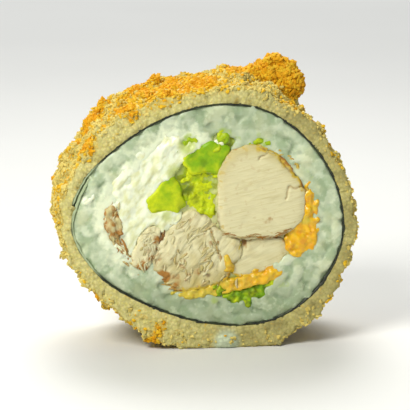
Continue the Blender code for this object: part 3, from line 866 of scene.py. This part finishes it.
def makeAllAvocado():
    def rim(place, edge):
        return 0.3 * smoothStep(0.1, 0.6, noiseAt(place, 2.2))

    def paintedLitEdge(place, edge, x):
        # painted light: paler along the edge that lies to the left of x, the side the light comes from
        return 0.7 * (1 - smoothStep(0.2, 1.1, edge)) * smoothStep(x + 1, x - 1, place[0])

    makeAvocado(
        "avocado_top", 0.06,
        lambda place, edge: 0.1 + 0.45 * smoothStep(13, 9, place[2]) + paintedLitEdge(place, edge, -2),
        rim, corners=[(-4.5, 11.6), (-3.3, 13.4), (0.0, 14.2), (3.4, 13.7), (1.3, 9.7), (-2.8, 9.3)],
    )
    makeAvocado(
        "avocado_left", 0.06,
        lambda place, edge: 0.42 + 0.45 * smoothStep(7, 1, place[2]) + paintedLitEdge(place, edge, -9),
        rim, corners=[(-12.2, 1.6), (-11.6, 3.7), (-8.3, 7.6), (-5.6, 2.9), (-6.6, 0.8)],
    )
    # painted shade in the hollows between the avocado pieces
    hollows = [(-4.4, 5.6, 2.0, 0.75), (-2.6, 3.4, 1.3, 0.35), (1.6, 0.8, 0.8, 0.6)]
    makeAvocado(
        "avocado_middle", 0.34, lambda place, edge: 0.95 + 0.5 * noiseAt(place, 1),
        spotLayer(hollows), runs=avocadoRuns["middle"],
    )
    # the sunk piece gets painted shade all over
    makeAvocado("avocado_sunk", 0.3, lambda place, edge: 0.2, lambda place, edge: 0.45)
    makeAvocado("avocado_tip", 0.3, lambda place, edge: 0.5, lambda place, edge: 0.1, runs=avocadoRuns["tip"])
    makeAvocado(
        "avocado_under", 0.45, lambda place, edge: 0.25 + 0.6 * noiseAt(place, 1.2),
        lambda place, edge: 0.3 + 0.7 * noiseAt(place, 0.9, (5, 5, 5)), runs=avocadoRuns["under"],
    )


cheeseLook = {
    "white": linear(232, 237, 208),
    "warm": linear(220, 222, 172),
    "green": linear(176, 192, 84),
    "cheddar": linear(232, 182, 4),
    "cheddarDeep": linear(226, 158, 2),
    "cheddarPale": linear(204, 184, 58),
    # places that avocado has stained
    "stains": [(-6.6, 9.0, 2.6, 0.7), (-4.4, 14.6, 2.6, 0.8), (-8.6, 0.4, 1.6, 0.5)],
    # how the smears of the soft cheese lean, in degrees
    "lean": 52,
}


def creamMaterial(name):
    material, tree = newMaterial(f"{name}Finish", 0.34, scatter=0.25, scatterDepth=1.2, gloss=0.45, coat=0.12)
    turn = (0, cheeseLook["lean"], 0)
    clouds = noiseOf(tree, (0.5, 0.5, 0.9), 3, turn)
    base = washed(tree, cheeseLook, "white", (clouds, "warm", 0.42, 0.62), ("green", "green"))
    return coloured(material, base, noiseOf(tree, (1.2, 1.2, 2.2), 3, turn), 0.3, 0.3)


def makeCreamCheese():
    look = fillingLook["cream_cheese"]
    cheese = solidCopy("cream_cheese")
    pushSides(cheese, lambda place: look["swell"] + 0.5 * noiseAt(place, 2.0))
    cheese = smoothed(withBits(cheese, look, creamRuns, 22), 2)

    def heightAt(place, normal):
        smears = fibres(place, cheeseLook["lean"], 0.5, 40) * 0.5 + fibres(place, 60, 1.5, 31) * 0.1
        return smears + 0.35 * noiseAt(place, 1.6) + 0.12 * noiseAt(place, 0.6)

    pushOut(cheese, heightAt)
    paintSpots(cheese, green=cheeseLook["stains"])
    finishPiece(cheese, ["cream_cheese"], creamMaterial(look["name"]))


def cheddarMaterial(name):
    material, tree = newMaterial(f"{name}Finish", 0.32, scatter=0.2, scatterDepth=1.0, gloss=0.5, coat=0.2)
    base = washed(
        tree, cheeseLook, "cheddar", (noiseOf(tree, 0.8, 4), "cheddarDeep", 0.42, 0.66),
        (patchy(tree, "pale", patchesOf(tree, 0.9, 3)), "cheddarPale"),
    )
    return coloured(material, base, noiseOf(tree, 2.0, 3), 0.25, 0.2)


def makeCheddar(nodeName, pale):
    # pale: where it has melted thin
    look = fillingLook[nodeName]
    piece = solidCopy(nodeName)
    pushSides(piece, lambda place: look["swell"])
    piece = smoothed(withBits(piece, look, cheddarRuns[nodeName], 24), 1)
    pushOut(piece, lambda place, normal: 0.5 * noiseAt(place, 1.6) + 0.3 * noiseAt(place, 0.8))
    places, _ = placesAndNormals(piece)
    paint(piece, "pale", [pale(place) for place in places])
    finishPiece(piece, [nodeName], cheddarMaterial(look["name"]))


def makeAllCheddar():
    makeCheddar("cheddar_side", lambda place: spotsAt(place, [(19.6, -1.2, 1.4, 0.8), (21.2, 1.2, 1.0, 0.5)]))
    makeCheddar(
        "cheddar_under",
        lambda place: 0.5 * smoothStep(6, -2, place[0]) + 0.45 - 0.3 * smoothStep(7, 12, place[0]),
    )


# Torn strands and small bits on both cut faces, where the pieces meet

# each run: the line that it follows, how many lie on a face, how far they stray, half lengths, half widths,
# how they lie (degrees, or None for along the line), and for strands the range of each colour layer
strandRuns = [
    ([(-8.6, -6.0), (0.6, -11.4)], 60, 4.2, (0.6, 1.5), (0.18, 0.4), 58,
     {"tanAndHollowShade": (0.1, 1), "brown": (0, 0.4)}),
    ([(-6.0, -1.6), (-0.6, -3.8)], 26, 1.4, (0.8, 1.8), (0.14, 0.28), 50,
     {"tanAndHollowShade": (0.1, 0.8), "brown": (0, 0.25)}),
    ([(-19.2, 2.6), (-20.2, -1.3), (-18.6, -5.0), (-16.6, -8.8), (-14.3, -10.6)], 90, 0.8, (0.6, 1.6),
     (0.15, 0.36), None, {"tanAndHollowShade": (0, 1), "brown": (0, 1)}),
    ([(-12.4, -3.2), (-12.0, -7.0), (-13.0, -10.4)], 34, 1.3, (0.8, 1.8), (0.14, 0.3), 75,
     {"tanAndHollowShade": (0, 0.3), "brown": (0, 0.2)}),
    # strands along the gap between the shred and the chunk: browned, with painted shade in the dark layer
    ([(-8.8, -1.8), (-9.6, -4.2), (-10.8, -6.4)], 30, 0.22, (0.6, 1.3), (0.16, 0.3), None,
     {"brown": (0.6, 1), "dark": (0, 0.8)}),
    ([(-13.6, -11.2), (-10.8, -11.2), (-8.4, -13.6), (-5.0, -15.2)], 34, 0.6, (0.5, 1.2), (0.14, 0.32), None,
     {"tanAndHollowShade": (0.4, 1), "brown": (0.2, 0.9)}),
    ([(10.6, 14.0), (14.6, 12.6), (17.6, 10.4), (19.6, 6.6), (20.2, 4.4)], 100, 0.5, (0.5, 1.3), (0.1, 0.24),
     None, {"tanAndHollowShade": (0.3, 1), "yellow": (0.3, 1), "brown": (0, 0.6)}),
    # strands along the gap between the strip and the small piece, with some painted shade in the dark layer
    ([(3.6, -3.6), (8.0, -4.4), (12.0, -4.4), (16.2, -3.2)], 40, 0.4, (0.5, 1.2), (0.12, 0.26), None,
     {"tanAndHollowShade": (0.4, 1), "brown": (0.2, 0.95), "dark": (0, 0.35)}),
    ([(0.4, -2.6), (1.2, -5.6), (2.4, -8.8)], 18, 0.35, (0.5, 1.1), (0.1, 0.22), None,
     {"tanAndHollowShade": (0.4, 1), "brown": (0, 0.6)}),
    ([(6.4, -4.8), (6.2, -8.4), (4.4, -11.6)], 18, 0.5, (0.5, 1.1), (0.12, 0.25), None,
     {"tanAndHollowShade": (0.2, 1), "yellow": (0, 0.9)}),
]
creamRuns = [
    ([(-4.6, 15.8), (-12.0, 13.4), (-17.2, 8.4), (-20.4, 2.6)], 95, 1.3, (0.5, 1.5), (0.3, 0.75), 48),
    ([(-19.0, -3.6), (-16.6, -9.6)], 26, 1.0, (0.4, 1.2), (0.25, 0.6), 120),
    ([(-12.4, 0.4), (-6.4, 0.0)], 16, 0.5, (0.4, 1.0), (0.2, 0.5), 10),
    ([(-9.8, -1.4), (-5.4, -0.4)], 12, 0.5, (0.4, 1.0), (0.2, 0.5), 20),
    ([(-5.6, 11.2), (-2.0, 15.4), (2.6, 14.6)], 22, 0.7, (0.4, 1.0), (0.25, 0.6), 40),
    ([(-25.0, 3.2), (-23.4, 4.4)], 9, 0.35, (0.4, 0.9), (0.25, 0.45), 40),
]
avocadoRuns = {
    "middle": [
        ([(-4.6, 8.6), (-3.6, 3.6), (1.4, 1.2)], 30, 0.9, (0.4, 1.0), (0.3, 0.7), 60),
        ([(-3.8, 8.6), (2.2, 8.2)], 16, 0.4, (0.4, 0.9), (0.25, 0.55), 5),
    ],
    "tip": [
        ([(1.6, 14.0), (3.4, 17.0)], 16, 0.6, (0.4, 0.9), (0.25, 0.55), 60),
        ([(8.0, 14.6), (10.4, 15.2), (12.6, 14.5)], 34, 0.22, (0.6, 1.2), (0.3, 0.52), None),
        ([(-6.0, 13.4), (-3.0, 16.0)], 12, 0.6, (0.4, 0.9), (0.2, 0.45), 50),
    ],
    "under": [([(1.4, -15.6), (8.0, -17.8), (14.6, -12.6)], 60, 0.9, (0.4, 1.2), (0.25, 0.65), 30)],
}
cheddarRuns = {
    "cheddar_under": [
        ([(-6.4, -15.6), (-1.0, -15.4), (3.6, -13.2), (9.0, -12.0), (15.0, -10.4)], 46, 0.4, (0.5, 1.4),
         (0.16, 0.36), None),
        ([(3.6, -8.8), (4.6, -12.2)], 22, 0.5, (0.4, 1.0), (0.3, 0.6), 70),
    ],
    "cheddar_side": [
        ([(20.0, 4.6), (21.0, 0.0), (20.4, -4.0), (17.0, -6.8)], 50, 1.0, (0.4, 1.4), (0.25, 0.6), None),
        ([(20.2, 6.6), (20.8, 3.6)], 12, 0.3, (0.5, 1.0), (0.2, 0.4), None),
    ],
}


def roundTemplate(segments, rings):
    deselectAll()
    bpy.ops.mesh.primitive_uv_sphere_add(segments=segments, ring_count=rings, radius=1)
    return templateOf(bpy.context.object)


def layAlong(name, runs, seed, layers=(), sections=(8, 6)):
    # one mesh of small stretched forms that lie on the cut faces along the runs
    chance = np.random.default_rng(seed)
    template, faces = roundTemplate(*sections)
    ground = treeOfNodes(*fillingLook, "rice")
    copies, values = [], {layer: [] for layer in layers}
    for side, run in [(side, run) for side in (-1, 1) for run in runs]:
        line, count, spread, lengths, widths, lie, *ranges = run
        corners = np.array(line)
        steps = np.concatenate(([0], np.cumsum(np.linalg.norm(np.diff(corners, axis=0), axis=1))))

        def onLine(at):
            return np.array([np.interp(at, steps, corners[:, i]) for i in (0, 1)])

        for _ in range(count):
            at = chance.uniform(0, steps[-1])
            here, ahead, behind = onLine(at), onLine(min(at + 0.4, steps[-1])), onLine(max(at - 0.4, 0))
            heading = math.atan2(*(ahead - behind)[::-1]) if lie is None else math.radians(lie)
            heading += chance.normal(0, 0.28 if lie is None else 0.38)
            here += chance.normal(0, spread * 0.6, 2)
            length, width = chance.uniform(*lengths), chance.uniform(*widths)
            bend, thick = chance.normal(0, 0.22) * length, width * chance.uniform(0.5, 0.9)
            hit = ground.ray_cast(Vector((here[0], side * rayStart, here[1])), Vector((0, -side, 0)), 9.0)
            top = abs(hit[0].y) if hit[0] else halfThickness - 0.4
            wobble = template * chance.uniform(0.8, 1.2, (len(template), 1))
            t = wobble[:, 2]
            forth, sideways = t * length, wobble[:, 0] * width + bend * (t ** 2 - 0.4)
            x = here[0] + forth * math.cos(heading) - sideways * math.sin(heading)
            z = here[1] + forth * math.sin(heading) + sideways * math.cos(heading)
            y = side * (top - 0.3 * thick + wobble[:, 1] * thick + chance.uniform(-0.1, 0.1) * t)
            copies.append(np.stack((x, y, z), axis=1))
            for layer in layers:
                values[layer].append(chance.uniform(*ranges[0].get(layer, (0, 0))))
    piece = joinedCopies(name, np.array(copies), faces)
    makeActive(piece)
    editAll(bpy.ops.mesh.normals_make_consistent, inside=False)
    for layer in layers:
        paint(piece, layer, np.repeat(values[layer], len(template)))
    return piece


def withBits(piece, look, runs, seed):
    # the piece with small bits of its own stuff fused on
    bits = layAlong(f"{look['name']}Bits", runs, seed)
    makeActive(piece)
    bits.select_set(True)
    bpy.ops.object.join()
    return remeshed(piece, look["voxel"])


def makeStrands():
    layers = ("tanAndHollowShade", "yellow", "brown", "dark", "split")
    strands = layAlong("chickenStrands", strandRuns, 21, layers, (6, 7))
    finishPiece(strands, [], chickenMaterial("strand", 55))


# The soft mash that closes the gaps between the pieces, a little below the cut

mashLook = {
    "reach": 0.78,
    "depth": 0.75,
    "cream": linear(206, 208, 150),
    "green": linear(146, 168, 18),
    "brown": linear(128, 92, 34),
    "greenSpots": [(-3.0, 7.0, 7.0, 1.0), (5.0, 14.0, 4.0, 0.8), (8.0, -15.5, 6.0, 0.9)],
    "brownSpots": [(8.0, -4.0, 6.0, 1.0), (-10.0, -5.0, 3.0, 0.8), (2.0, -6.0, 4.0, 0.6)],
}


def makeMash():
    look = mashLook
    deselectAll()
    bpy.ops.mesh.primitive_cylinder_add(vertices=90, radius=1, depth=2, rotation=(math.pi / 2, 0, 0))
    mash = bpy.context.object
    mash.name = mash.data.name = "softMash"
    bpy.ops.object.transform_apply(location=False, rotation=True, scale=True)
    places = np.array([tuple(vertex.co) for vertex in mash.data.vertices])
    for place in places:
        reach = look["reach"] * noriRadius(bearingOf(place), "inner")
        place[0], place[2] = place[0] * reach, place[2] * reach
        place[1] = math.copysign(halfThickness - look["depth"], place[1])
    setPlaces(mash, places)
    remeshed(mash, 0.5)
    pushOut(mash, lambda place, normal: 0.3 * noiseAt(place, 1.3))
    paintSpots(mash, green=look["greenSpots"], brown=look["brownSpots"])
    material, tree = newMaterial("mashFinish", 0.5, gloss=0.35)
    patches = patchesOf(tree, 0.9, 4)
    base = washed(
        tree, look, "cream", (patchy(tree, "green", patches), "green"),
        (patchy(tree, "brown", patches), "brown"),
    )
    finishPiece(mash, [], coloured(material, base, noiseOf(tree, 1.5, 4), 0.4, 0.3))


# The rice

riceLook = {
    "coreVoxel": 0.6,
    "voxel": 0.37,
    # grains on each face at most, and places tried for them within this half width and half height
    "perFace": 420,
    "tries": 9000,
    "halfArea": (28, 23.5),
    "spacing": 1.7,
    "halfLength": (2.1, 2.9),
    "halfWidth": (0.95, 1.2),
    "white": linear(216, 223, 193),
    "grey": linear(162, 180, 142),
    "warm": linear(204, 206, 158),
    # painted shade for the grooves between the grains, and for the rice towards the bottom and the top
    "grooveShade": linear(124, 142, 104),
    "creamy": linear(226, 232, 200),
    "green": linear(160, 184, 60),
    # where cheese has smeared over the rice, and where avocado has stained it
    "smeared": [
        (-17.5, 8.5, 3.4, 0.9), (-13.5, 14.0, 3.2, 0.8), (-20.5, 4.0, 3.2, 0.8), (-24.6, 3.2, 2.0, 1.0),
        (-7.0, 17.2, 3.0, 0.6), (-19.5, -6.5, 3.0, 0.7), (-15.5, -10.5, 2.8, 0.6), (-22.0, -1.5, 2.4, 0.6),
        (2.0, 13.8, 1.6, 0.5),
    ],
    "stained": [
        (-4.0, 15.8, 2.3, 0.75), (1.0, 16.2, 1.4, 0.55), (3.2, 16.8, 2.0, 0.8), (-6.5, 12.6, 2.2, 0.7),
        (5.8, 15.3, 1.6, 0.5), (10.4, 15.0, 2.6, 0.7), (15.6, -14.2, 2.0, 0.4), (1.6, -17.4, 1.8, 0.5),
        (20.4, 8.0, 2.0, 0.25),
    ],
}


def riceCore():
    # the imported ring, pressed against the nori and the filling, with its faces a little below the cut
    core = remeshed(copyNode("riceRing", "rice"), riceLook["coreVoxel"])
    nori, filling = treeOfNodes("nori_sheet"), treeOfNodes(*fillingLook)
    level = halfThickness - 0.9

    def pressed(place, normal, outward):
        facing = normal.dot(outward)
        place.y = min(max(place.y, -level), level)
        if facing > 0.2:
            hit = nori.ray_cast(place, outward, 2.0)
            return hit[3] + 0.1 if hit[0] else 0.0
        if facing < -0.2:
            hit = filling.ray_cast(place, -outward, 3.0)
            return -hit[3] - 0.3 if hit[0] else -0.5
        return 0.0

    pushAcross(core, pressed)
    pushOut(core, lambda place, normal: -0.55 * smoothStep(0.5, 0.8, abs(normal.y)))
    return core


def placeGrains(core):
    # cut grains on both faces: their points, and the line along the middle of each
    look = riceLook
    chance = np.random.default_rng(12)
    ring = treeOf([core.data])
    template, faces = roundTemplate(8, 6)
    grains, axes = [], []

    def isRice(x, z, side):
        if math.hypot(x, z) > noriRadius(math.degrees(math.atan2(z, x)), "inner") - 0.4:
            return False
        start, down = Vector((x, side * rayStart, z)), Vector((0, -side, 0))
        return ring.ray_cast(start, down, rayStart - halfThickness + 2.0)[0] is not None

    for side in (-1, 1):
        kept = []
        for _ in range(look["tries"]):
            x, z = (chance.uniform(-half, half) for half in look["halfArea"])
            if len(kept) == look["perFace"] or not isRice(x, z, side):
                continue
            if kept and min(math.hypot(x - a, z - b) for a, b in kept) < look["spacing"]:
                continue
            halfLength, halfWidth = chance.uniform(*look["halfLength"]), chance.uniform(*look["halfWidth"])
            for _ in range(10):
                heading, pitch = chance.uniform(0, math.pi), chance.uniform(-0.9, 0.9)
                flat = np.array((math.cos(heading), math.sin(heading))) * math.cos(pitch)
                reach = halfLength - 0.5
                if all(isRice(x + end * reach * flat[0], z + end * reach * flat[1], side) for end in (-1, 1)):
                    break
            else:
                halfLength *= 0.62
            kept.append((x, z))
            along = np.array((flat[0], math.sin(pitch), flat[1]))
            across = np.cross(along, (0, 1, 0))
            across /= np.linalg.norm(across)
            up = np.cross(across, along)
            centre = np.array((x, side * (halfThickness - chance.uniform(0.1, 0.9)), z))
            points = (
                centre + template[:, 2:] * along * halfLength + template[:, :1] * across * halfWidth
                + template[:, 1:2] * up * halfWidth
            )
            level = halfThickness + chance.uniform(-0.22, 0.12)
            over = points[:, 1] * side - level
            points[:, 1] = side * (level + np.where(over > 0, over * 0.05, over))
            grains.append(points)
            axes.append([centre + along * halfLength * share for share in (-0.7, -0.35, 0, 0.35, 0.7)])
        print("grains on one face", len(kept))
    return joinedCopies("grains", np.array(grains), faces), axes


def makeRice():
    look = riceLook
    rice = riceCore()
    grains, axes = placeGrains(rice)
    makeActive(rice)
    grains.select_set(True)
    bpy.ops.object.join()
    smoothed(remeshed(rice, look["voxel"]), 1)
    pushOut(rice, lambda place, normal: 0.05 * noiseAt(place, 0.6))
    tree = KDTree(sum(len(axis) for axis in axes))
    for i, axis in enumerate(axes):
        for point in axis:
            tree.insert(Vector(point), i)
    tree.balance()
    tones = np.random.default_rng(4).uniform(0, 1, len(axes))
    places, _ = placesAndNormals(rice)
    paint(rice, "tone", [tones[tree.find(Vector(place))[1]] for place in places])
    cheese = treeOfNodes("cream_cheese")
    creamy, sunk = [], []
    for place in places:
        near = 1 - smoothStep(0.2, 4.2, cheese.find_nearest(Vector(place))[3])
        creamy.append(max(0.95 * near, 0.6 * spotsAt(place, look["smeared"])))
        # painted shade: darker in the grooves below the cut face, and towards the bottom and the top
        low = 1.7 * smoothStep(-9, -19, place[2]) + 1.0 * smoothStep(13, 19, place[2])
        sunk.append(0.75 * smoothStep(0.0, 0.5, halfThickness - abs(place[1])) + 0.4 * low)
    paint(rice, "creamy", creamy)
    paint(rice, "sunk", sunk)
    paintSpots(rice, green=look["stained"])
    finishPiece(rice, ["rice"], riceMaterial())


def riceMaterial():
    material, tree = newMaterial("cookedRice", 0.4, scatter=0.4, scatterDepth=1.4, gloss=0.4, coat=0.06)
    mottle = ranged(tree, noiseOf(tree, 0.55, 2), 0.36, 0.64, -0.1, 0.4)
    tone = combined(tree, "ADD", mottle, combined(tree, "MULTIPLY", layerOf(tree, "tone"), 0.85))
    # painted shade from the sunk layer: darker grooves, and darker rice towards the bottom and the top
    sunk = combined(tree, "MULTIPLY", layerOf(tree, "sunk"), 0.7)
    patches = patchesOf(tree, 0.7, 4, 0.35)
    base = washed(
        tree, riceLook, "white", (tone, "grey"), (noiseOf(tree, 0.28, 3), "warm", 0.5, 0.68, 0, 0.45),
        (sunk, "grooveShade"), (patchy(tree, "creamy", patches), "creamy", 0.15, 0.85),
        (patchy(tree, "green", patches), "green", 0.3, 1.0, 0, 0.9),
    )
    return coloured(material, base, noiseOf(tree, 1.6, 4), 0.2, 0.25)


# Floor, light and camera

stageLook = {
    "floor": linear(226, 226, 222),
    "floorWorn": linear(218, 218, 214),
    "azimuth": -7,
    "elevation": 12,
    "distance": 430,
    "lens": 185,
    "aim": (0.0, -6.0, 1.0),
    # name, place, size, power and colour
    "lights": [
        ("keyLight", (-200, -230, 290), 170, 1.5, (1.0, 0.99, 0.95)),
        ("fillLight", (260, -320, 120), 260, 0.12, (0.95, 0.98, 1.0)),
        ("topLight", (20, 160, 330), 200, 0.5, (1.0, 0.98, 0.94)),
        ("farLight", (0, 1300, 1300), 1400, 22, (1.0, 1.0, 1.0)),
    ],
}


def pointedAt(place, target):
    return (Vector(target) - Vector(place)).to_track_quat("-Z", "Y").to_euler()


def addLight(name, place, size, power, colour):
    light = bpy.data.lights.new(name, "AREA")
    light.shape = "DISK"
    light.size = size * mm
    light.energy = power
    light.color = colour
    lamp = bpy.data.objects.new(name, light)
    bpy.context.scene.collection.objects.link(lamp)
    lamp.location = Vector(place) * mm
    lamp.rotation_euler = pointedAt(lamp.location, middle * mm)


def makeStage():
    look = stageLook
    deselectAll()
    bpy.ops.mesh.primitive_plane_add(size=6.0)
    floor = bpy.context.object
    floor.name = "paleFloor"
    material, tree = newMaterial("floorFinish", 0.75, gloss=0.2)
    base = washed(tree, look, "floor", (noiseOf(tree, 0.01, 2), "floorWorn", 0.3, 0.7, 0, 0.25))
    floor.data.materials.append(coloured(material, base))

    world = bpy.data.worlds.new("softRoom")
    world.use_nodes = True
    sky = world.node_tree.nodes["Background"]
    sky.inputs["Color"].default_value = (0.9, 0.95, 1.0, 1.0)
    sky.inputs["Strength"].default_value = 0.2
    bpy.context.scene.world = world
    bpy.context.scene.view_settings.view_transform = "Standard"
    for light in look["lights"]:
        addLight(*light)

    camera = bpy.data.cameras.new("camera")
    camera.lens = look["lens"]
    camera.clip_start, camera.clip_end = 0.01, 20.0
    eye = bpy.data.objects.new("camera", camera)
    bpy.context.scene.collection.objects.link(eye)
    azimuth, elevation = math.radians(look["azimuth"]), math.radians(look["elevation"])
    flat = math.cos(elevation)
    back = Vector((math.sin(azimuth) * flat, -math.cos(azimuth) * flat, math.sin(elevation)))
    target = (middle + Vector(look["aim"])) * mm
    eye.location = target + back * look["distance"] * mm
    eye.rotation_euler = pointedAt(eye.location, target)
    bpy.context.scene.camera = eye


coating = makeCoating()
makeCrumbs(coating)
makeNori()
makeRice()
makeMash()
makeCreamCheese()
makeAllChicken()
makeAllAvocado()
makeAllCheddar()
makeStrands()
makeStage()
